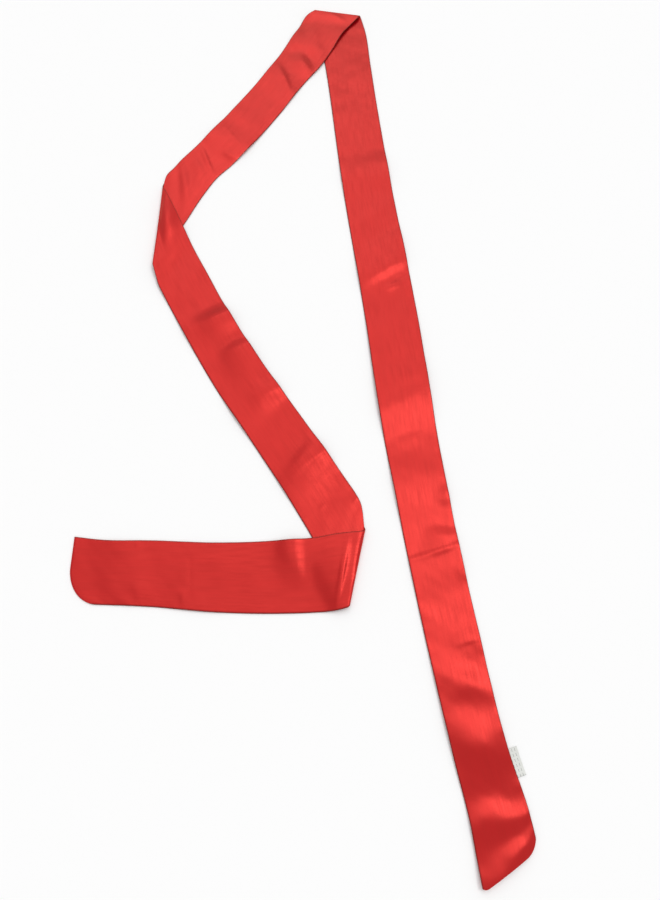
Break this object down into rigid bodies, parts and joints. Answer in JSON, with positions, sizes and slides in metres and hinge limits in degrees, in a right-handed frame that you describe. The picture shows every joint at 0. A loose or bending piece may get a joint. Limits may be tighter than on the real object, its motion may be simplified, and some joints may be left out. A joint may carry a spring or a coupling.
{
  "type": "satin sash",
  "caption": "Long flat satin sash laid down in a zigzag with turned folds, a pointed end, a rounded end and a small blank label in its seam.",
  "frame": {"origin": "centre of the bounding box, on the surface that the sash lies on", "axes": "+Y along the long stretch, from its pointed end towards the top fold; +Z up from the surface; +X to the right seen from above with +Y up"},
  "size_m": [0.5252, 1.329, 0.0088],
  "materials": {
    "satin": "red satin weave with a soft lengthwise sheen",
    "label_tape": "matt white woven tape, blank"
  },
  "bodies": {
    "root": {"tail_stretch": "satin", "lower_stretch": "satin", "upper_stretch": "satin", "long_stretch": "satin", "label": "label_tape"}
  },
  "joints": []
}
